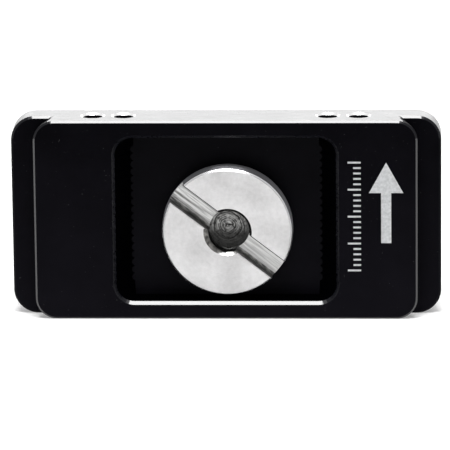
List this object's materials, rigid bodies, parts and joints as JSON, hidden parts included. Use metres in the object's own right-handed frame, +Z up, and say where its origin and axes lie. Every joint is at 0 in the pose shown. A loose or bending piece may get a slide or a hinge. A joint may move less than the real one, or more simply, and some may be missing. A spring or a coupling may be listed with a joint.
{
  "type": "quick release plate",
  "caption": "Small rectangular quick release plate with dovetail ends, a milled recess and a captive, coin slotted camera screw.",
  "frame": {"origin": "centre of the bounding box at its bottom, in the plane of the lower long side that the plate stands on", "axes": "+X along the plate, +Z up its width, +Y out of the camera side along the screw; the clamp side with the recess faces -Y"},
  "size_m": [0.0428, 0.0108, 0.0202],
  "materials": {
    "black_anodised": "black anodised, satin",
    "turned_steel": "finely turned, matt",
    "spring_steel": "plain spring steel",
    "grip_rubber": "matt"
  },
  "bodies": {
    "plate": {"plate_body": "black_anodised", "grip_pad_left": "grip_rubber", "grip_pad_right": "grip_rubber"},
    "clip": {"retaining_clip": "spring_steel"},
    "screw": {"camera_screw": "turned_steel"}
  },
  "joints": [
    {"name": "screw_shift", "type": "slide", "parent": "plate", "child": "clip", "axis": [1, 0, 0], "range_m": [-0.00193, 0.00167]},
    {"name": "screw_turn", "type": "hinge", "parent": "clip", "child": "screw", "pos_m": [0.00013, -0.0028, 0.0088], "axis": [0, -1, 0], "continuous": true}
  ]
}
